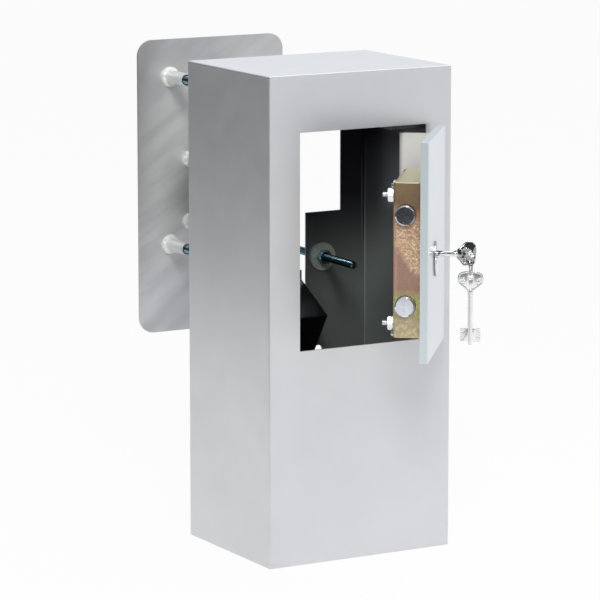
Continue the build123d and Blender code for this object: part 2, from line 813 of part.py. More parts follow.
with BuildPart() as lock_bolts:
    with BuildSketch(door_side(bolt_tip)):
        with Locations(*[(front_y + bolt_depth, z) for z in bolt_heights]):
            Circle(bolt_diameter / 2)
    extrude(amount=bolt_length)
    tips = lock_bolts.faces().filter_by(door_side(0)).sort_by(sideways)[:len(bolt_heights)]
    chamfer(tips.edges(), length=bolt_chamfer)
lock_bolts.part.label = "lock_bolts"
export_step(lock_bolts.part, "parts/lock_bolts.step")

carriage_y = case_inner + carriage_gap
carriage_height = bolt_spacing + bolt_diameter
turns_back = key_rest_turn / 360.0
slot_near = key_x - bolt_throw * turns_back
slot_far = key_x + bolt_throw * (1 - turns_back)
stump_x = bolt_tail + carriage_tail - stump_inset - stump_diameter / 2
with BuildPart() as bolt_carriage:
    with BuildSketch(door_face(carriage_y)):
        with Locations((bolt_tail, lock_mid_z)):
            Rectangle(carriage_tail, carriage_height, align=(Align.MIN, Align.CENTER))
        with Locations(((slot_near + slot_far) / 2, key_height)):
            SlotCenterToCenter(slot_far - slot_near, keyhole_shaft, mode=Mode.SUBTRACT)
        with Locations((slot_near, key_height)):
            Rectangle(keyhole_slot, keyhole_span, mode=Mode.SUBTRACT)
    extrude(amount=-carriage_sheet)
    for z in bolt_heights:
        with BuildSketch(door_face(carriage_y + carriage_sheet)):
            with Locations((bolt_tail, z)):
                Rectangle(carriage_tab, bolt_diameter, align=(Align.MIN, Align.CENTER))
        extrude(amount=carriage_y + carriage_sheet - bolt_depth - bolt_diameter / 2)
    with BuildSketch(door_face(carriage_y + carriage_sheet)):
        with Locations((stump_x, key_height)):
            Circle(stump_diameter / 2)
    extrude(amount=carriage_y + carriage_sheet - bolt_depth - bolt_diameter / 2)
bolt_carriage.part.label = "bolt_carriage"
export_step(bolt_carriage.part, "parts/bolt_carriage.step")

# ---------------------------------------------------------------------------
# Levers, their posts and springs
# ---------------------------------------------------------------------------

bit_start = key_shaft_length - key_tip_length - bit_length - key_shaft_out
lever_start = bit_start + (bit_length - lever_count * lever_pitch + lever_pitch - lever_thickness) / 2
lever_depths = [lever_start + i * lever_pitch for i in range(lever_count)]
lever_right = lock_rear - case_sheet - lever_wall_gap
lever_mid_x = lever_right - lever_length / 2
post_x = lever_right - lever_post_inset
post_z = key_height + lever_height / 2 - lever_post_inset
spring_post_z = key_height + lever_height / 2 + spring_rise
gate_near = stump_x - bolt_throw * (1 - turns_back)
gate_far = stump_x + bolt_throw * turns_back

with BuildPart() as lock_levers:
    for depth in lever_depths:
        with BuildSketch(door_face(depth)):
            with Locations((lever_mid_x, key_height)):
                Rectangle(lever_length, lever_height)
            with Locations((key_x, key_height)):
                Circle(lever_window / 2, mode=Mode.SUBTRACT)
            with Locations(((gate_near + gate_far) / 2, key_height)):
                SlotCenterToCenter(gate_far - gate_near, stump_diameter + 2 * gate_play,
                                   mode=Mode.SUBTRACT)
            with Locations((post_x, post_z)):
                Circle(lever_post_diameter / 2, mode=Mode.SUBTRACT)
        extrude(amount=-lever_thickness)
lock_levers.part.label = "lock_levers"
export_step(lock_levers.part, "parts/lock_levers.step")

with BuildPart() as lever_posts:
    with BuildSketch(door_face(case_inner)):
        with Locations((post_x, post_z), (post_x, spring_post_z)):
            Circle(lever_post_diameter / 2)
    extrude(amount=case_inner - case_floor)
lever_posts.part.label = "lever_posts"
export_step(lever_posts.part, "parts/lever_posts.step")

lever_top = key_height + lever_height / 2
spring_end_x = post_x - (lever_post_diameter + spring_wire) / 2
with BuildPart() as lever_springs:
    for depth in lever_depths:
        with BuildSketch(door_face(depth)):
            with BuildLine():
                ThreePointArc((post_x - spring_span, lever_top + spring_wire / 2),
                              (post_x - spring_span / 2, lever_top + spring_rise / 3),
                              (spring_end_x, spring_post_z))
            trace(line_width=spring_wire)
        extrude(amount=-lever_thickness)
lever_springs.part.label = "lever_springs"
export_step(lever_springs.part, "parts/lever_springs.step")

# ---------------------------------------------------------------------------
# Keys, curtain, ring and escutcheon
# ---------------------------------------------------------------------------

key_out = -door_in
key_mouth = swing(key_x, front_y, key_height)
bit_up = up * cos(radians(key_rest_turn)) + door_x * sin(radians(key_rest_turn))


def key_solid(bow_root, out, across):
    """A double-bitted key. bow_root is where its bow starts on its axis, out is the
    direction from the bits to the bow, and across lies in the plane of the bow."""
    flat = Plane(origin=bow_root, x_dir=out, z_dir=out.cross(across))
    bow_tip_half = bow_width / 2 - bow_hole_inset / 2
    with BuildPart() as key:
        with BuildSketch(Plane(origin=bow_root, z_dir=-out)):
            Circle(key_shaft_diameter / 2)
        extrude(amount=key_shaft_length - key_tip_length)
        with BuildSketch(Plane(origin=bow_root, z_dir=-out)):
            Circle(key_tip_diameter / 2)
        extrude(amount=key_shaft_length)
        with BuildSketch(flat):
            with Locations((-key_shaft_length + key_tip_length, 0)):
                Rectangle(bit_length, bit_span, align=(Align.MIN, Align.CENTER))
        extrude(amount=bit_thickness / 2, both=True)
        with BuildSketch(flat):
            for side, steps in bit_cuts.items():
                for i, step in enumerate(steps):
                    cut_x = key_tip_length - key_shaft_length + (i + 0.5) * bit_length / len(steps)
                    cut_depth = bit_cut_least + step * bit_cut_step
                    with Locations((cut_x, side * bit_span / 2)):
                        Rectangle(bit_cut_width, 2 * cut_depth)
        extrude(amount=bit_thickness, both=True, mode=Mode.SUBTRACT)
        with BuildSketch(flat):
            with BuildLine():
                Polyline((0, bow_neck / 2), (bow_shoulder, bow_width / 2),
                         (bow_side_end, bow_width / 2), (bow_length, bow_tip_half),
                         (bow_length, -bow_tip_half), (bow_side_end, -bow_width / 2),
                         (bow_shoulder, -bow_width / 2), (0, -bow_neck / 2), close=True)
            make_face()
            with Locations((bow_length - bow_hole_inset, 0)):
                Circle(bow_hole / 2, mode=Mode.SUBTRACT)
        extrude(amount=bow_thickness / 2, both=True)
    return key


key_bow_root = key_mouth + key_out * key_shaft_out
lock_key = key_solid(key_bow_root, key_out, bit_up)
lock_key.part.label = "lock_key"
export_step(lock_key.part, "parts/lock_key.step")

key_eye = key_bow_root + key_out * (bow_length - bow_hole_inset)
ring_centre = key_eye - up * (ring_diameter / 2)
with BuildPart() as key_ring:
    with BuildSketch(Plane(origin=key_eye, x_dir=up, z_dir=door_x)):
        Circle(ring_wire / 2)
    revolve(axis=Axis(ring_centre, key_out), revolution_arc=360)
key_ring.part.label = "key_ring"
export_step(key_ring.part, "parts/key_ring.step")

spare_eye_drop = ring_diameter + bow_hole / 2 - ring_wire / 2 - ring_play
spare_bow_root = key_eye - up * (spare_eye_drop + bow_length - bow_hole_inset)
spare_key = key_solid(spare_bow_root, up, key_out)
spare_key.part.label = "spare_key"
export_step(spare_key.part, "parts/spare_key.step")

with BuildPart() as key_curtain:
    with BuildSketch(door_face(lock_y)):
        with Locations((key_x, key_height)):
            Circle(curtain_diameter / 2)
    extrude(amount=-case_sheet - curtain_play)
    with BuildSketch(door_face(case_inner + curtain_play / 2)):
        with Locations((key_x, key_height)):
            Circle(curtain_flange / 2)
    extrude(amount=-curtain_flange_thickness)
    with BuildSketch(door_face(lock_y)):
        with Locations((key_x, key_height)):
            Circle(key_shaft_diameter / 2)
            Rectangle(keyhole_slot, keyhole_span, rotation=-key_rest_turn)
    extrude(amount=-case_sheet - curtain_play - 2 * curtain_flange_thickness, mode=Mode.SUBTRACT)
key_curtain.part.label = "key_curtain"
export_step(key_curtain.part, "parts/key_curtain.step")

with BuildPart() as escutcheon:
    with BuildSketch(door_face(0)):
        with Locations((key_x, key_height - escutcheon_drop)):
            Ellipse(escutcheon_width / 2, escutcheon_height / 2)
        keyhole()
    extrude(amount=escutcheon_thickness)
escutcheon.part.label = "escutcheon"
export_step(escutcheon.part, "parts/escutcheon.step")

with BuildPart() as escutcheon_rivets:
    for x in (key_x - escutcheon_rivet_spacing / 2, key_x + escutcheon_rivet_spacing / 2):
        with BuildSketch(door_face(-escutcheon_thickness)):
            with Locations((x, key_height - escutcheon_drop)):
                Circle(escutcheon_rivet / 2)
        extrude(amount=escutcheon_rivet_rise)
escutcheon_rivets.part.label = "escutcheon_rivets"
export_step(escutcheon_rivets.part, "parts/escutcheon_rivets.step")
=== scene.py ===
"""Looks of the through-wall key drop box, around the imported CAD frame.

The stage and the materials are in metres. The pieces made with Build are in mm.
"""

import math

import bmesh
import bpy
from mathutils import Matrix, Vector, noise


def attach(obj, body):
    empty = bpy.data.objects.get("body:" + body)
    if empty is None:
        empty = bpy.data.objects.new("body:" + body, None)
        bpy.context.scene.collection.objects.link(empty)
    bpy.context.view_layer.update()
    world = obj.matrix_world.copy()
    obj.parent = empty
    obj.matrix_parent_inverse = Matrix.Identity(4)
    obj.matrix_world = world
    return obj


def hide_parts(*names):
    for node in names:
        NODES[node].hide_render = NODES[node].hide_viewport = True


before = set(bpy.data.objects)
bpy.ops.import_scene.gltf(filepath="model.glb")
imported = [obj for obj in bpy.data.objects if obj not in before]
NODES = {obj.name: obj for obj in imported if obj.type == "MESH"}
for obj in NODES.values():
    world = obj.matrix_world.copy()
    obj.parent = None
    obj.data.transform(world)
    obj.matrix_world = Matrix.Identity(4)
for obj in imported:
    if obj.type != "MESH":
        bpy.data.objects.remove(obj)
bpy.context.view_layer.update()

MM = 0.001
UP = Vector((0, 0, 1))
ACROSS = Vector((1, 0, 0))
BACKWARD = Vector((0, 1, 0))

# the door, in mm: its hinge pin, its outer face when shut, and the turn at which it stands open
PIN_X, PIN_Y = 88.8, -67.0
DOOR_FACE = -80.0
TURN = math.radians(51.6)
DOOR_X = Vector((math.cos(TURN), math.sin(TURN), 0))
DOOR_IN = Vector((-math.sin(TURN), math.cos(TURN), 0))


def swung(x, inward, z):
    """Where a point of the door lies, in mm, with the door open; inward is from its outer face."""
    dx, dy = x - PIN_X, DOOR_FACE + inward - PIN_Y
    return Vector((PIN_X + DOOR_X.x * dx + DOOR_IN.x * dy,
                   PIN_Y + DOOR_X.y * dx + DOOR_IN.y * dy, z))


# ---------------------------------------------------------------------------
# Camera
# ---------------------------------------------------------------------------

SENSOR_WIDTH, LENS, CLIP_END = 36.0, 215.02, 100.0
CAMERA_PLACE = (-1.71252, -2.96515, 0.84549)
CAMERA_RIGHT = Vector((0.868652, -0.495423, 0.0))
CAMERA_UP = Vector((0.086416, 0.151512, 0.984671))


def link(obj):
    bpy.context.scene.collection.objects.link(obj)
    return obj


cam_data = bpy.data.cameras.new("camera")
cam_data.sensor_fit = "HORIZONTAL"
cam_data.sensor_width = SENSOR_WIDTH
cam_data.lens = LENS
cam_data.clip_end = CLIP_END
cam = link(bpy.data.objects.new("camera", cam_data))
axes = Matrix((CAMERA_RIGHT, CAMERA_UP, CAMERA_RIGHT.cross(CAMERA_UP))).transposed()
cam.matrix_world = Matrix.Translation(CAMERA_PLACE) @ axes.to_4x4()
bpy.context.scene.camera = cam
bpy.context.scene.view_settings.view_transform = "Standard"

# ---------------------------------------------------------------------------
# Node helpers
# ---------------------------------------------------------------------------

NOISE_LOW, NOISE_HIGH = 0.3, 0.7    # where nearly all of a noise texture's values lie


def is_socket(value):
    return isinstance(value, bpy.types.NodeSocket)


def add_node(tree, kind, settings=(), **inputs):
    """Adds a node; its sockets, by name or by number as _0, take a value or a link."""
    n = tree.nodes.new(kind)
    for name, value in dict(settings).items():
        setattr(n, name, value)
    for key, value in inputs.items():
        by_number = key[0] == "_" and key[1:].isdigit()
        sock = n.inputs[int(key[1:]) if by_number else key.replace("_", " ")]
        if is_socket(value):
            tree.links.new(value, sock)
        else:
            sock.default_value = value
    return n


def dot(tree, vector, direction):
    n = add_node(tree, "ShaderNodeVectorMath", {"operation": "DOT_PRODUCT"},
                 _0=vector, _1=tuple(direction))
    return n.outputs["Value"]


class Mat:
    """A material with a Principled shader and short calls for its texture nodes."""

    def __init__(self, name, color, metallic, rough):
        self.m = bpy.data.materials.new(name)
        self.m.use_nodes = True
        self.t = self.m.node_tree
        self.p = self.t.nodes["Principled BSDF"]
        self.co = self.node("ShaderNodeTexCoord").outputs["Object"]
        self.set("Base Color", (*color, 1))
        self.set("Metallic", metallic)
        self.set("Roughness", rough)

    def set(self, socket, value):
        self.p.inputs[socket].default_value = value

    def to(self, socket, out):
        self.t.links.new(out, self.p.inputs[socket])

    def node(self, kind, settings=(), **inputs):
        return add_node(self.t, kind, settings, **inputs)

    def mapped(self, vec, **how):
        """The vector scaled or rotated; a Mapping node scales before it rotates."""
        return self.node("ShaderNodeMapping", Vector=vec, **how).outputs[0]

    def noise(self, scale, detail=3.0, rough=0.5, vec=None, distortion=0.0):
        n = self.node("ShaderNodeTexNoise", Vector=self.co if vec is None else vec,
                      Scale=scale, Detail=detail, Roughness=rough, Distortion=distortion)
        return n.outputs["Fac"]

    def ramp(self, fac, stops):
        n = self.node("ShaderNodeValToRGB", Fac=fac)
        elements = n.color_ramp.elements
        while len(elements) < len(stops):
            elements.new(0.5)
        for element, (position, color) in zip(elements, stops):
            element.position = position
            element.color = (*color, 1)
        return n.outputs["Color"]

    def span(self, fac, lo, hi, a, b):
        """Maps lo..hi to a..b and clamps it."""
        return self.node("ShaderNodeMapRange", Value=fac, From_Min=lo, From_Max=hi,
                         To_Min=a, To_Max=b).outputs[0]

    def spread(self, texture, a, b):
        """Spreads a noise over a..b."""
        return self.span(texture, NOISE_LOW, NOISE_HIGH, a, b)

    def mix(self, fac, a, b):
        a, b = (c if is_socket(c) else (*c, 1) for c in (a, b))
        return self.node("ShaderNodeMix", {"data_type": "RGBA"}, _0=fac, _6=a, _7=b).outputs[2]

    def math(self, operation, *values):
        n = self.node("ShaderNodeMath", {"operation": operation},
                      **{"_%d" % i: value for i, value in enumerate(values)})
        return n.outputs[0]

    def product(self, out, *factors):
        for factor in factors:
            out = self.math("MULTIPLY", out, factor)
        return out

    def above(self, value, limit):
        return self.math("GREATER_THAN", value, limit)

    def below(self, value, limit):
        return self.math("LESS_THAN", value, limit)

    def xyz(self):
        return self.node("ShaderNodeSeparateXYZ", Vector=self.co).outputs

    def off_door(self, direction):
        """Distance from the outer face of the door, at x 0 of the shut door, along a direction."""
        start = swung(0, 0, 0).dot(direction) * MM
        return self.math("SUBTRACT", dot(self.t, self.co, direction), start)

    def bump(self, height, strength, distance):
        n = self.node("ShaderNodeBump", Height=height, Strength=strength, Distance=distance)
        self.to("Normal", n.outputs[0])

    def tint(self, fac, color):
        """Lays a colour over the base where fac is above 0."""
        under = self.p.inputs["Base Color"].links[0].from_socket
        self.to("Base Color", self.mix(fac, under, color))


def shaded(color, share):
    """The colour made lighter or darker by a share, up to white."""
    return tuple(min(1, c * (1 + share)) for c in color)


# ---------------------------------------------------------------------------
# Coatings
# ---------------------------------------------------------------------------

# noise scales of a coating
CLOUDS, SHEEN, PEEL, FLAKES = 9.0, 40.0, 900.0, 2600.0
FLAKE_SHARE, SHEEN_SPREAD = 0.10, 0.03

# bounds of the housing's inside, each within the sheet, between its inner and outer face
INNER_SIDE, INNER_FRONT, INNER_REAR = 0.0985, -0.0785, 0.0795
INNER_FLOOR, INNER_TOP = 0.0015, 0.4685
RIGHT_WALL = 0.0972
# where a painted highlight line stands for the light on the rear panel's fold
FOLD_HIGHLIGHT_X, FOLD_HIGHLIGHT_HALF_WIDTH = 0.0941, 0.0006

# the middles of the two patches of painted light on the plate, left and right of the throat
LIT_PATCH_X, LIT_PATCH_Z = 0.045, 0.345
# the plate's painted light and shade fade out between these depths, so its outer face is plain
PLATE_SHADED, PLATE_PLAIN = 0.2200, 0.2210


def coating(name, color, rough, metallic=0.25, cloud=0.03, peel=0.06):
    """Satin metallic coating: fine flake, faint orange peel and slow cloudiness."""
    m = Mat(name, color, metallic, rough)
    base = m.mix(m.spread(m.noise(CLOUDS, 4.0, 0.6), 0, 1),
                 shaded(color, -cloud), shaded(color, cloud))
    flake = m.span(m.noise(FLAKES, 1.0), 0.35, 0.7, 0.0, FLAKE_SHARE)
    m.to("Base Color", m.mix(flake, base, (1, 1, 1)))
    m.to("Roughness", m.spread(m.noise(SHEEN), rough - SHEEN_SPREAD, rough + SHEEN_SPREAD))
    if peel:
        m.bump(m.noise(PEEL, 2.0), peel, 0.0002)
    return m


def housing_coating():
    """Silver outside; painted shade inside, painted light low down and at the right, a painted
    highlight line.
    """
    m = coating("housing_paint", (0.72, 0.73, 0.75), 0.33, 0.65)
    x, y, z = m.xyz()
    inside = m.product(m.above(y, INNER_FRONT), m.below(m.math("ABSOLUTE", x), INNER_SIDE),
                       m.below(y, INNER_REAR), m.below(z, INNER_TOP), m.above(z, INNER_FLOOR))
    # painted shade inside the housing, paler towards the bottom as painted light
    inside_shade = m.mix(m.span(z, 0.23, 0.33, 0, 1), (0.27, 0.295, 0.28), (0.042, 0.038, 0.052))
    # painted light on the lower part of the right side
    lit_right_side = m.product(m.above(x, RIGHT_WALL), m.span(z, 0.39, 0.29, 0, 1))
    inside_shade = m.mix(lit_right_side, inside_shade, (0.50, 0.54, 0.53))
    # painted highlight: a light line standing for the light on the rear panel's fold
    fold_highlight = m.product(m.math("COMPARE", x, FOLD_HIGHLIGHT_X, FOLD_HIGHLIGHT_HALF_WIDTH),
                     m.span(z, 0.27, 0.32, 0.1, 1), m.span(z, 0.37, 0.33, 0, 0.8))
    m.tint(inside, m.mix(fold_highlight, inside_shade, (0.36, 0.37, 0.38)))
    return m


def top_coating():
    """As the housing, with an even sheen: an uneven one shows as waves under the lamps."""
    m = coating("top_paint", (0.73, 0.74, 0.76), 0.22, 0.65, peel=0.0)
    m.to("Roughness", m.spread(m.noise(3.0, 1.0), 0.215, 0.225))
    return m


def door_coating():
    """Pale blue with upright lilac bands."""
    m = coating("door_paint", (0.74, 0.82, 0.85), 0.32, 0.55, cloud=0.02, peel=0.0)
    sideways = m.node("ShaderNodeCombineXYZ", X=m.off_door(DOOR_X)).outputs[0]
    m.tint(m.span(m.noise(24.0, 2.0, 0.5, sideways), 0.40, 0.60, 0, 0.8), (0.84, 0.80, 0.88))
    return m


def plate_coating():
    """Grey; painted shade upper left and in slanting streaks, painted light low, right and by the
    throat.
    """
    m = coating("plate_paint", (0.58, 0.59, 0.595), 0.40, 0.45, cloud=0.05)
    x, y, z = m.xyz()
    slanted = m.mapped(m.mapped(m.co, Rotation=(0, 0.56, 0)), Scale=(0.2, 1, 1.5))
    slant_noise = m.noise(36.0, 3.0, 0.55, slanted)
    # painted light in two patches around the throat, made ragged by the slanting noise
    off_x = m.product(m.math("ADD", m.math("ABSOLUTE", x), -LIT_PATCH_X), 22.0)
    off_z = m.product(m.math("ADD", z, -LIT_PATCH_Z), 9.5)
    away = m.math("ADD", m.product(off_x, off_x), m.product(off_z, off_z))
    painted_light_patches = m.span(m.math("ADD", away, m.product(slant_noise, 0.7)), 0.25, 1.7, 0.95, 0.0)
    # painted shade at the upper left, painted light low down and to the right, and slanting
    # streaks of painted shade
    upper_left_shade = m.product(m.span(x, -0.046, -0.074, 0, 0.62), m.span(z, 0.27, 0.33, 0, 1))
    lower = m.span(z, 0.31, 0.24, 0, 0.7)
    right_light = m.span(x, 0.0, 0.05, 0, 0.6)
    streaks = m.span(slant_noise, 0.36, 0.62, 0.42, 0.0)
    wall_side = m.span(y, PLATE_PLAIN, PLATE_SHADED, 0.2, 1)
    for fac, color in ((upper_left_shade, (0.27, 0.28, 0.285)), (lower, (0.80, 0.81, 0.83)),
                       (right_light, (0.80, 0.80, 0.79)), (painted_light_patches, (0.88, 0.88, 0.86)),
                       (streaks, (0.40, 0.405, 0.41))):
        m.tint(m.product(fac, wall_side), color)
    return m


def enamel():
    """Gloss black of the chute."""
    m = Mat("chute_enamel", (0.006, 0.006, 0.006), 0.0, 0.25)
    m.set("Specular IOR Level", 0.35)
    m.to("Roughness", m.spread(m.noise(60.0), 0.20, 0.26))
    m.bump(m.noise(350.0, 2.0), 0.05, 0.0003)
    return m


# ---------------------------------------------------------------------------
# Metals
# ---------------------------------------------------------------------------

GRAIN = 500.0                                     # noise scale of bare metal
ESCUTCHEON_EDGE, ESCUTCHEON_FACE = -0.0016, -0.0017    # measured from the door's outer face
LOCK_LOW, LOCK_HIGH = 0.230, 0.376                # the lock case's lower and upper edges


def steel(name, color, rough, grain=None, spread=0.06, scale=GRAIN, bump=0.08, metallic=1.0):
    """Plain metal: fine grain, stretched along an axis if one is given."""
    m = Mat(name, color, metallic, rough)
    g = m.noise(scale, 3.0, 0.6, m.mapped(m.co, Scale=grain) if grain else None)
    m.to("Roughness", m.spread(g, max(0.02, rough - spread), rough + spread))
    m.to("Base Color", m.mix(m.spread(m.noise(scale / 3, 2.0), 0, 1),
                             shaded(color, -0.1), shaded(color, 0.06)))
    m.bump(g, bump, 0.0001)
    return m


def escutcheon_steel():
    """Painted shade on its edge in dark grey, with the door's pale tone on its face."""
    m = steel("escutcheon_zinc", (0.30, 0.31, 0.32), 0.34)
    # the dark grey base stays only on the edge, as painted shade
    m.tint(m.span(m.off_door(DOOR_IN), ESCUTCHEON_EDGE, ESCUTCHEON_FACE, 0, 1),
           (0.84, 0.86, 0.88))
    return m


def nickel_painted_reflections():
    """Polished, with nearly black blotches of painted reflection."""
    m = steel("key_nickel", (0.86, 0.86, 0.85), 0.10, spread=0.04, scale=300.0)
    # painted reflections: nearly black blotches over the polished nickel
    m.tint(m.span(m.noise(140.0, 1.0, 0.5, distortion=0.8), 0.48, 0.52, 0.95, 0.0),
           (0.03, 0.03, 0.035))
    return m


def chromate():
    """Yellow zinc: its colour drifts up the lock's edge, in warped zones with fine spangles."""
    m = Mat("yellow_zinc", (0.72, 0.62, 0.38), 0.45, 0.36)
    z = m.xyz()["Z"]
    inward = m.off_door(DOOR_IN)
    fine = m.noise(620.0, 3.0, 0.6)
    warp = m.product(m.math("SUBTRACT", m.noise(60.0, 4.0, 0.6, distortion=0.6), 0.5), 0.034)
    warped_z = m.math("ADD", z, warp)
    height = m.span(warped_z, LOCK_LOW, LOCK_HIGH, 0, 1)
    hue = m.ramp(height, [(0.02, (0.72, 0.63, 0.38)), (0.11, (0.70, 0.58, 0.38)),
                          (0.17, (0.55, 0.58, 0.21)), (0.27, (0.55, 0.58, 0.20)),
                          (0.40, (0.80, 0.53, 0.33)), (0.64, (0.76, 0.45, 0.28)),
                          (0.78, (0.52, 0.27, 0.16)), (0.86, (0.23, 0.145, 0.085)),
                          (0.97, (0.28, 0.20, 0.10))])
    mottle = m.span(m.noise(260.0, 4.0, 0.7), 0.42, 0.60, 0.45, 0.0)
    spangles = m.product(m.span(fine, 0.50, 0.60, 0.0, 0.8),
                         m.product(m.span(height, 0.28, 0.42, 0, 1),
                                   m.span(height, 0.80, 0.70, 0, 1)))
    slant = m.math("SUBTRACT", warped_z, m.product(inward, 1.25))
    mauve = m.product(m.span(slant, 0.278, 0.270, 0, 0.85), m.span(z, 0.268, 0.276, 0, 1))
    # painted reflection in a band along the case's fold
    fold_reflection = m.product(m.span(inward, 0.0300, 0.0318, 0, 0.6),
                     m.product(m.span(z, 0.266, 0.280, 0, 1), m.span(z, 0.358, 0.350, 0, 1)))
    top = m.span(z, 0.3752, 0.3760, 0, 0.85)
    for fac, color in ((mottle, (0.30, 0.20, 0.13)), (spangles, (1.0, 0.86, 0.62)),
                       (mauve, (0.40, 0.225, 0.18)), (fold_reflection, (0.66, 0.40, 0.32)),
                       (top, (0.70, 0.66, 0.43))):
        hue = m.mix(fac, hue, color)
    m.to("Base Color", hue)
    m.to("Roughness", m.spread(fine, 0.30, 0.42))
    m.bump(fine, 0.08, 0.0002)
    return m


bright_steel = steel("bright_steel", (0.66, 0.68, 0.71), 0.22)
bright_zinc = steel("bright_zinc", (0.86, 0.87, 0.88), 0.32)
blue_zinc = steel("blue_zinc", (0.17, 0.29, 0.36), 0.20)
weld = steel("weld_bead", (0.94, 0.94, 0.91), 0.40, scale=700.0, bump=0.12, metallic=0.2)
nickel = nickel_painted_reflections()
# paler and less metallic than the key's nickel: painted light, so the spare shows near white
spare_nickel = steel("spare_nickel", (0.97, 0.97, 0.96), 0.20, spread=0.02, scale=300.0,
                     bump=0.0, metallic=0.8)
wire = steel("ring_wire", (0.52, 0.47, 0.42), 0.22)

DRESS = (
    (housing_coating(), "housing_shell base_panel rear_panel"),
    (top_coating(), "top_cover"),
    (door_coating(), "door_skin"),
    (coating("arm_paint", (0.90, 0.89, 0.86), 0.42, 0.3), "door_arm"),
    (plate_coating(), "wall_plate drop_flap flap_ears"),
    (coating("sleeve_paint", (0.84, 0.84, 0.83), 0.38, 0.3), "rod_sleeves throat_standoffs"),
    # near-black for the inner plates and the hardplate: painted shade, like the housing's inside
    (coating("inside_steel", (0.10, 0.10, 0.105), 0.45, 0.2),
     "upper_pivot_plate lower_pivot_plate hardplate"),
    (enamel(), "drop_chute"),
    (bright_steel, "hinge_pins hinge_thrust_washer chute_screws flap_pin case_rivets lever_posts"
                   " lever_springs"),
    (bright_zinc, "lock_studs stud_nuts throat_screws rod_nuts"),
    (blue_zinc, "threaded_rods"),
    (steel("bolt_steel", (0.80, 0.83, 0.90), 0.07, spread=0.03, bump=0.02), "lock_bolts"),
    (escutcheon_steel(), "escutcheon escutcheon_rivets"),
    (steel("washer_zinc", (0.50, 0.54, 0.47), 0.36, metallic=0.5), "rod_washers"),
    (steel("galvanised", (0.60, 0.62, 0.63), 0.40), "drop_throat"),
    (steel("lever_brass", (0.80, 0.60, 0.27), 0.28, grain=(1, 1, 8)), "lock_levers key_curtain"),
    (chromate(), "lock_cover lock_case bolt_carriage"),
    (weld, "sleeve_welds"),
    (nickel, "lock_key"),
    (spare_nickel, "spare_key"),
    (wire, "key_ring"),
)
for material, names in DRESS:
    for name in names.split():
        me = NODES[name].data
        me.materials.clear()
        me.materials.append(material.m)

# ---------------------------------------------------------------------------
# Mesh helpers, in mm
# ---------------------------------------------------------------------------

WELD_DISTANCE = 1e-7    # metres, under which two vertices of a piece become one
AXIS_RADIUS = 0.001     # where a turned profile meets its axis


def mesh_object(name, verts, faces, smooth_angle):
    me = bpy.data.meshes.new(name)
    me.from_pydata([tuple(v) for v in verts], [], faces)
    bm = bmesh.new()
    bm.from_mesh(me)
    bmesh.ops.remove_doubles(bm, verts=bm.verts, dist=WELD_DISTANCE)
    bmesh.ops.dissolve_degenerate(bm, edges=bm.edges, dist=WELD_DISTANCE)
    bmesh.ops.recalc_face_normals(bm, faces=bm.faces)
    bm.to_mesh(me)
    bm.free()
    me.shade_smooth()
    me.set_sharp_from_angle(angle=math.radians(smooth_angle))
    return link(bpy.data.objects.new(name, me))


def angles(count):
    return [2 * math.pi * i / count for i in range(count)]


def polar(o, u, v, w, t, radius, height):
    """The point at an angle t from u and a radius about o, raised along w."""
    return o + w * height + (u * math.cos(t) + v * math.sin(t)) * radius


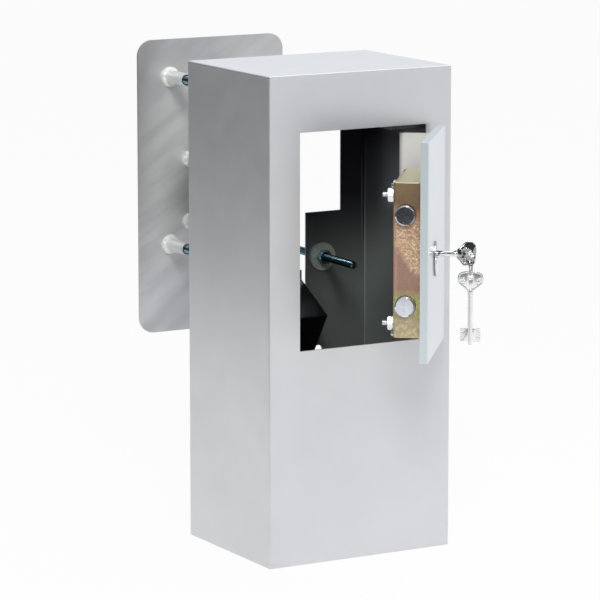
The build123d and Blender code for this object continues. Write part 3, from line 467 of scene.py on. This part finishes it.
class Build:
    """Collects vertices and faces for one mesh."""

    def __init__(self):
        self.v, self.f = [], []

    def grid(self, rows):
        """Closed rows of equal length, joined row to row."""
        base, n = len(self.v), len(rows[0])
        for row in rows:
            self.v.extend(row)
        for j in range(len(rows) - 1):
            for i in range(n):
                a, b = base + j * n + i, base + j * n + (i + 1) % n
                self.f.append((a, b, b + n, a + n))

    def cap(self, ring):
        base = len(self.v)
        self.v.extend(ring)
        self.f.append(tuple(range(base, base + len(ring))))

    def lathe(self, o, u, v, w, profile, segs=32):
        """profile is (radius, height along w), from the axis and back to it."""
        self.grid([[polar(o, u, v, w, t, r, h) for t in angles(segs)] for r, h in profile])

    def hexagon(self, o, u, v, w, flats, height, hole=None):
        """Hex nut with chamfered corners, or without a hole a head, flat below; on o along w."""
        segs = 72
        flat_r = flats / 2 * 0.97
        chamfer = math.tan(math.radians(28))
        edge = [flats / 2 / math.cos(t % (math.pi / 3) - math.pi / 6) for t in angles(segs)]
        drop = [max(0.0, e - flat_r) * chamfer for e in edge]
        low = drop if hole else [0.0] * segs

        def ring(radii, heights):
            return [polar(o, u, v, w, *at) for at in zip(angles(segs), radii, heights)]

        def level_ring(radius, at_height):
            return ring([radius] * segs, [at_height] * segs)

        sides = [level_ring(flat_r, 0.0), ring(edge, low), ring(edge, [height - d for d in drop]),
                 level_ring(flat_r, height)]
        if hole:
            bore, mouth = hole / 2, hole / 2 + 0.5
            foot = level_ring(bore, 0.6)
            self.grid([foot, level_ring(mouth, 0.0), *sides, level_ring(mouth, height),
                       level_ring(bore, height - 0.5), foot])
        else:
            self.grid([level_ring(AXIS_RADIUS, 0.0), *sides, level_ring(flat_r * 0.5, height),
                       level_ring(AXIS_RADIUS, height)])

    def thread(self, o, u, v, w, length, radius, depth, pitch, segs):
        """A threaded bar from o along w; both ends are chamfered."""
        crest = [0.0, 0.45, 1.0, 0.45]
        steps = len(crest)
        turns = int(length / pitch) + 2
        rows = []
        for j in range(-steps, turns * steps + 1):
            row = []
            for i, t in enumerate(angles(segs)):
                s = min(max(pitch * (j / steps + i / segs), 0.0), length)
                r = radius - depth * (1 - crest[j % steps])
                r = min(r, radius - depth + s, radius - depth + (length - s))
                row.append(polar(o, u, v, w, t, r, s))
            rows.append(row)
        # the last column joins the first one a whole turn further on, so that it spirals
        base = len(self.v)
        for row in rows:
            self.v.extend(row)
        for j in range(len(rows) - 1):
            for i in range(segs):
                a, d = base + j * segs + i, base + (j + 1) * segs + i
                if i < segs - 1:
                    b, c = a + 1, d + 1
                elif j + 1 + steps < len(rows):
                    b, c = base + (j + steps) * segs, base + (j + 1 + steps) * segs
                else:
                    continue
                self.f.append((a, b, c, d))
        for s in (0.0, length):
            self.cap([polar(o, u, v, w, t, radius - depth, s) for t in angles(segs)])

    def tube(self, path, radius, segs=10):
        """A round wire along an open path, with its ends drawn in."""
        rows = []
        last = len(path) - 1
        for k, p in enumerate(path):
            along = (path[min(k + 1, last)] - path[max(k - 1, 0)]).normalized()
            side = along.cross(UP)
            side = side.normalized() if side.length > 1e-3 else ACROSS.copy()
            if rows and side.dot(before) < 0:
                side = -side
            before = side
            r = radius if 0 < k < last else radius * 0.5
            rows.append([polar(p, side, along.cross(side), along, t, r, 0.0)
                         for t in angles(segs)])
        self.grid(rows)
        self.cap(rows[0])
        self.cap(rows[-1])

    def add_mesh(self, me, matrix):
        base = len(self.v)
        self.v.extend(matrix @ v.co for v in me.vertices)
        self.f.extend(tuple(base + i for i in p.vertices) for p in me.polygons)

    def make(self, name, material, body, nodes, slot, angle):
        obj = mesh_object(name, [v * MM for v in self.v], self.f, angle)
        obj.data.materials.append(material.m)
        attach(obj, body)
        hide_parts(*nodes)


def corners(points):
    """Each point of a closed polygon with the one before it and the one after it."""
    n = len(points)
    for k in range(n):
        yield Vector(points[k]), Vector(points[k - 1]), Vector(points[(k + 1) % n])


def rounded(points, radius, steps=5):
    """Closed polygon with its corners rounded."""
    out = []
    for p, a, b in corners(points):
        r = min(radius, (a - p).length * 0.45, (b - p).length * 0.45)
        start, end = p + (a - p).normalized() * r, p + (b - p).normalized() * r
        for i in range(steps + 1):
            t = i / steps
            out.append(start * (1 - t) ** 2 + p * 2 * t * (1 - t) + end * t ** 2)
    return out


def inset(points, d):
    """Closed counter-clockwise polygon moved inwards by d."""
    out = []
    for p, a, b in corners(points):
        e1, e2 = (p - a).normalized(), (b - p).normalized()
        n1, n2 = Vector((-e1.y, e1.x)), Vector((-e2.y, e2.x))
        m = n1 + n2
        out.append(p + m / max(0.2, m.dot(n1)) * d)
    return out


def circle(x, radius, count=28):
    return [Vector((x + radius * math.cos(t), radius * math.sin(t))) for t in angles(count)]


def slab(loops, thickness, bevel):
    """Mesh of a flat piece: its outline first, then its holes; its edges are rounded."""
    curve = bpy.data.curves.new("slab", "CURVE")
    curve.dimensions = "2D"
    curve.fill_mode = "BOTH"
    curve.extrude = thickness / 2 - bevel
    curve.bevel_depth = bevel
    curve.bevel_resolution = 2
    for loop in loops:
        spline = curve.splines.new("POLY")
        spline.points.add(len(loop) - 1)
        for point, q in zip(spline.points, loop):
            point.co = (q[0], q[1], 0, 1)
        spline.use_cyclic_u = True
    obj = link(bpy.data.objects.new("slab", curve))
    bpy.context.view_layer.update()
    depsgraph = bpy.context.evaluated_depsgraph_get()
    me = bpy.data.meshes.new_from_object(obj.evaluated_get(depsgraph))
    bpy.data.objects.remove(obj)
    bpy.data.curves.remove(curve)
    return me


# ---------------------------------------------------------------------------
# Fasteners and weld beads, with more detail than their CAD solids
# ---------------------------------------------------------------------------

M8 = {"radius": 3.98, "depth": 0.62, "pitch": 1.25, "segs": 24}
M6 = {"radius": 2.95, "depth": 0.5, "pitch": 1.0, "segs": 20}
M5 = {"radius": 2.49, "depth": 0.42, "pitch": 0.8, "segs": 20}

RODS = [(x, z) for x in (-48, 48) for z in (267, 438)]
ROD_FRONT, ROD_LENGTH = 15.5, 203.5
ROD_NUT_SEAT = 75.5
PLATE_FACE = 219                         # the plate's inner face
STANDOFFS = [(x, z) for x in (-26, 26) for z in (289, 353)]
THROAT_FLANGE = 200.0
CHUTE_SCREW_X, CHUTE_SCREW_SEAT, CHUTE_SCREW_Z = (-18, 18), 76.5, 137.0

LOCK_FRONT, LOCK_REAR = -54.5, 43.5      # along the shut door
LOCK_BOTTOM, LOCK_TOP = 230.3, 376.3
LOCK_BACK = 34.5                         # from the door's outer face
STUD_START, STUD_LENGTH = 2.0, 43.2
STUDS = [(x, z) for x in (LOCK_FRONT + 8, LOCK_REAR - 9.5) for z in (243.1, 363.5)]
RIVET_INSET = 3.6
RIVETS = [(x, z) for x in (LOCK_FRONT + RIVET_INSET, LOCK_REAR - RIVET_INSET)
          for z in (LOCK_BOTTOM + RIVET_INSET, LOCK_TOP - RIVET_INSET)]
RIVET_HEAD = [(AXIS_RADIUS, 0), (2.5, 0), (2.45, 0.7), (2.1, 1.5), (1.4, 2.1), (0.6, 2.38),
              (AXIS_RADIUS, 2.4)]
DOME_SCREW = [(AXIS_RADIUS, -1.5), (2.5, -1.5), (2.5, 0), (5, 0), (4.95, 0.8), (4.3, 1.8),
              (3.0, 2.35), (2.1, 2.45), (1.9, 1.1), (AXIS_RADIUS, 1.1)]

TO_FRONT = (ACROSS, UP, -BACKWARD)
TO_REAR = (ACROSS, UP, BACKWARD)
INTO_DOOR = (DOOR_X, UP, DOOR_IN)

b = Build()
for x, z in RODS:
    b.thread(Vector((x, ROD_FRONT, z)), *TO_REAR, ROD_LENGTH, **M8)
b.make("rod_threads", blue_zinc, "root", ["threaded_rods"], "blue_zinc", 50)

b = Build()
for x, z in RODS:
    b.hexagon(Vector((x, ROD_NUT_SEAT, z)), *TO_FRONT, 13.0, 6.5, 8.1)
b.make("rod_hex_nuts", blue_zinc, "root", ["rod_nuts"], "bright_zinc", 25)

b = Build()
for x, z in STANDOFFS:
    seat = Vector((x, THROAT_FLANGE, z))
    b.hexagon(seat, *TO_FRONT, 10.0, 4.0)
    b.thread(seat, *TO_REAR, 14.0, **M6)
b.make("throat_hex_screws", bright_zinc, "root", ["throat_screws"], "bright_zinc", 25)

b = Build()
for x, z in STUDS:
    b.hexagon(swung(x, LOCK_BACK, z), *INTO_DOOR, 12.4, 5.5, 5.1)
b.make("stud_hex_nuts", bright_zinc, "door", ["stud_nuts"], "bright_zinc", 25)

b = Build()
for x, z in STUDS:
    b.thread(swung(x, STUD_START, z), *INTO_DOOR, STUD_LENGTH, **M5)
b.make("stud_threads", bright_zinc, "door", ["lock_studs"], "bright_zinc", 50)


def weld_bead(build, number, x, z, radius, leg):
    """An uneven bead of overlapping lumps, around a tube of a radius on the plate."""
    segs, steps = 96, 10
    centre = Vector((x, PLATE_FACE, z))
    rows = []
    for j in range(steps + 1):
        q = math.pi / 2 * j / steps
        row = []
        for t in angles(segs):
            spot = Vector((math.cos(t), math.sin(t), 0.35 * j / steps + number * 3.7))
            lump = noise.noise(spot * 1.7) * 1.1 + 0.35 * abs(math.sin(t * 3.5 + number * 1.3))
            size = leg - 0.3 + lump
            out = radius - 0.1 + size * math.cos(q) ** 0.7
            rise = 0.05 + (size * 1.15 + 0.6) * math.sin(q) ** 0.8
            rough = noise.noise(spot * 6.0) * 0.10
            row.append(polar(centre, *TO_FRONT, t, out + rough, rise))
        rows.append(row)
    foot = [polar(centre, *TO_FRONT, t, radius - 0.2, 0.05) for t in angles(segs)]
    build.grid(rows + [foot, rows[0]])


b = Build()
tubes = [(x, z, 6.6, 3.5) for x, z in RODS] + [(x, z, 5.5, 2.9) for x, z in STANDOFFS]
for number, tube in enumerate(tubes):
    weld_bead(b, number, *tube)
b.make("weld_beads", weld, "root", ["sleeve_welds"], "weld_bead", 60)

b = Build()
for x, z in RIVETS:
    b.lathe(swung(x, LOCK_BACK, z), *INTO_DOOR, RIVET_HEAD)
b.make("case_rivet_heads", bright_steel, "door", ["case_rivets"], "bright_steel", 40)

b = Build()
for x in CHUTE_SCREW_X:
    b.lathe(Vector((x, CHUTE_SCREW_SEAT, CHUTE_SCREW_Z)), *TO_FRONT, DOME_SCREW)
b.make("chute_dome_screws", bright_steel, "root", ["chute_screws"], "bright_steel", 40)

# ---------------------------------------------------------------------------
# Keys and ring
# ---------------------------------------------------------------------------

SHAFT, TIP = 51.9, 3.3          # the stem's length from the bow, and what reaches past the bit
BIT_LENGTH, BIT_SPAN, BIT_THICKNESS, BIT_ROOT = 12.3, 18.9, 2.3, 1.2
CUTS = {-1: (0, 2, 1, 0, 2, 1), 1: (1, 0, 2, 1, 0, 2)}
CUT_HALF, CUT_LEAST, CUT_STEP = 0.55, 1.1, 0.9
STEM = [(AXIS_RADIUS, -1.0), (2.6, -1.0), (3.2, 0.2), (3.2, 1.6), (2.75, 2.0), (2.75, 3.2),
        (3.0, 3.5), (3.0, 4.2), (2.5, 4.6), (2.5, SHAFT - TIP), (2.35, SHAFT - TIP + 0.15),
        (2.0, SHAFT - TIP + 0.2), (2.0, SHAFT - 0.5), (1.5, SHAFT), (AXIS_RADIUS, SHAFT)]
BOW = [(-0.3, 3.3), (-0.3, -3.3), (6.6, -12.1), (13.7, -12.1), (16.6, -10.2), (18.1, -5.0),
       (18.2, 5.0), (16.6, 10.2), (13.7, 12.1), (6.6, 12.1)]
BOW_THICKNESS, WEB_THICKNESS, BAR_THICKNESS = 2.4, 1.5, 2.2
EYE = 18.3 - 5.2                # the eye's centre, from the bow's root
EYE_RIM, EYE_HOLE, WEB_HOLE = 3.3, 2.45, 2.5
BAR_PLACES, BAR_RISES = (-7.4, 7.4), (5.6, 8.2, 10.8)

KEY_X, KEY_Z, KEY_STANDS_OUT = LOCK_FRONT + 38.5, 304.5, 20.8
KEY_LEAN = math.radians(35)
RING_RADIUS, RING_WIRE, RING_PITCH = 10.0, 0.5, 1.05
RING_START = 2.2                # radians from upright to the wire's end
SPARE_DROP = 21.0               # from one key's eye to the other's


def bit_outline(side):
    """One of the key's two bits, with its cuts, in the plane of the bow."""
    x0 = -SHAFT + TIP
    x1 = x0 + BIT_LENGTH
    top = side * BIT_SPAN / 2
    edge = [(x0, side * BIT_ROOT), (x0, top)]
    for i, step in enumerate(CUTS[side]):
        middle = x0 + (i + 0.5) * BIT_LENGTH / len(CUTS[side])
        notch = top - side * (CUT_LEAST + CUT_STEP * step)
        edge += [(middle - CUT_HALF, top), (middle - CUT_HALF, notch),
                 (middle + CUT_HALF, notch), (middle + CUT_HALF, top)]
    return edge + [(x1, top), (x1, side * BIT_ROOT)]


def key_mesh(root, out, across):
    """Double-bitted key; out points to the bow, across lies in its plane."""
    b = Build()
    normal = out.cross(across)
    place = Matrix.Translation(root) @ Matrix((out, across, normal)).transposed().to_4x4()
    b.lathe(root, across, normal, -out, STEM, 28)
    rim = rounded(BOW, 1.6)
    pieces = [([bit_outline(side)], BIT_THICKNESS, 0.12) for side in (-1, 1)]
    pieces += [([inset(rim, 0.3), circle(EYE, WEB_HOLE)], WEB_THICKNESS, 0.15),
               ([inset(rim, 0.35), inset(rim, 1.5)], BOW_THICKNESS, 0.35),
               ([circle(EYE, EYE_RIM), circle(EYE, EYE_HOLE)], BOW_THICKNESS, 0.25)]
    for y in BAR_PLACES:
        for x in BAR_RISES:
            bar = [(x - 0.5, y - 2.2), (x + 0.5, y - 2.2), (x + 0.5, y + 2.2), (x - 0.5, y + 2.2)]
            pieces.append(([rounded(bar, 0.5)], BAR_THICKNESS, 0.3))
    for piece in pieces:
        b.add_mesh(slab(*piece), place)
    return b


key_out = -DOOR_IN
bit_up = UP * math.cos(KEY_LEAN) + DOOR_X * math.sin(KEY_LEAN)
bow_root = swung(KEY_X, 0, KEY_Z) + key_out * KEY_STANDS_OUT
key_eye = bow_root + key_out * EYE
spare_root = key_eye - UP * (SPARE_DROP + EYE)
b = key_mesh(bow_root, key_out, bit_up)
b.make("key_in_lock", nickel, "key", ["lock_key"], "key_nickel", 30)
b = key_mesh(spare_root, UP, key_out)
b.make("key_on_ring", spare_nickel, "spare", ["spare_key"], "key_nickel", 30)

# just over two turns of wire, side by side
b = Build()
ring_centre = key_eye - UP * RING_RADIUS
per_turn, count = 72, 150
b.tube([polar(ring_centre, UP, DOOR_X, key_out, 2 * math.pi * i / per_turn + RING_START,
              RING_RADIUS, (i / (count - 1) - 0.5) * RING_PITCH) for i in range(count)],
       RING_WIRE)
b.make("split_ring", wire, "ring", ["key_ring"], "ring_wire", 60)

# ---------------------------------------------------------------------------
# Floor, world and lamps
# ---------------------------------------------------------------------------

FLOOR_HALF, FLOOR_Z = 12.0, -0.0004
FLOOR_WHITE = 0.94      # how much of the floor the camera sees as plain white; the rest is shaded


def level(tree, value, lo, hi, a, b):
    """Maps lo..hi smoothly to a..b."""
    n = add_node(tree, "ShaderNodeMapRange", {"interpolation_type": "SMOOTHSTEP"},
                 Value=value, From_Min=lo, From_Max=hi, To_Min=a, To_Max=b)
    return n.outputs[0]


def choose(tree, fac, a, b):
    return add_node(tree, "ShaderNodeMixShader", _0=fac, _1=a, _2=b).outputs[0]


def emission(tree, strength):
    return add_node(tree, "ShaderNodeEmission", Strength=strength).outputs[0]


def background(tree, color, strength):
    return add_node(tree, "ShaderNodeBackground", Color=(*color, 1), Strength=strength).outputs[0]


def area_light(name, place, aim, size, power):
    data = bpy.data.lights.new(name, "AREA")
    data.energy = power
    data.size = size
    obj = link(bpy.data.objects.new(name, data))
    obj.location = place
    obj.rotation_euler = (Vector(aim) - Vector(place)).to_track_quat("-Z", "Y").to_euler()


floor_me = bpy.data.meshes.new("floor")
floor_me.from_pydata([(x * FLOOR_HALF, y * FLOOR_HALF, 0)
                      for x, y in ((-1, -1), (1, -1), (1, 1), (-1, 1))], [], [(0, 1, 2, 3)])
floor = link(bpy.data.objects.new("floor", floor_me))
floor.location.z = FLOOR_Z
floor_mat = bpy.data.materials.new("floor")
floor_mat.use_nodes = True
ft = floor_mat.node_tree
ft.nodes.clear()
ray = add_node(ft, "ShaderNodeLightPath").outputs
spot = add_node(ft, "ShaderNodeNewGeometry").outputs["Position"]
# what polished faces mirror: a white sheet that ends on the left and fades towards the front
sheet = add_node(ft, "ShaderNodeMath", {"operation": "MULTIPLY"},
                 _0=level(ft, dot(ft, spot, (1.0, -0.161, 0.0)), -1.32, -0.72, 0.05, 0.98),
                 _1=level(ft, dot(ft, spot, (0.0, -1.0, 0.0)), 0.2, 3.2, 1.0, 0.75))
paper = add_node(ft, "ShaderNodeBsdfDiffuse", Color=(0.86, 0.86, 0.86, 1)).outputs[0]
plain = add_node(ft, "ShaderNodeMath", {"operation": "MULTIPLY"},
                 _0=ray["Is Camera Ray"], _1=FLOOR_WHITE)
seen = choose(ft, plain.outputs[0], paper, emission(ft, 1.0))
seen = choose(ft, ray["Is Glossy Ray"], seen, emission(ft, sheet.outputs[0]))
add_node(ft, "ShaderNodeOutputMaterial", Surface=seen)
floor_me.materials.append(floor_mat)

world = bpy.data.worlds.new("studio")
bpy.context.scene.world = world
world.use_nodes = True
wt = world.node_tree
wt.nodes.clear()
way = add_node(wt, "ShaderNodeTexCoord").outputs["Generated"]
ray = add_node(wt, "ShaderNodeLightPath").outputs
fill = background(wt, (0.95, 0.97, 1.0),
                  level(wt, dot(wt, way, (0.70, 0.10, 0.70)), -0.7, 0.7, 0.04, 0.60))
mirror = background(wt, (0.93, 0.96, 1.0),
                    level(wt, dot(wt, way, (0.80, 0.35, 0.45)), -0.55, 0.75, 0.06, 0.92))
seen = choose(wt, ray["Is Glossy Ray"], fill, mirror)
seen = choose(wt, ray["Is Camera Ray"], seen, background(wt, (1, 1, 1), 1.0))
add_node(wt, "ShaderNodeOutputWorld", Surface=seen)

LAMPS_AIM = (0, 0, 0.2)
area_light("key_box", (-1.05, -2.0, 2.2), LAMPS_AIM, 0.8, 48)
area_light("top_box", (0.5, 0.1, 2.0), LAMPS_AIM, 1.6, 6)
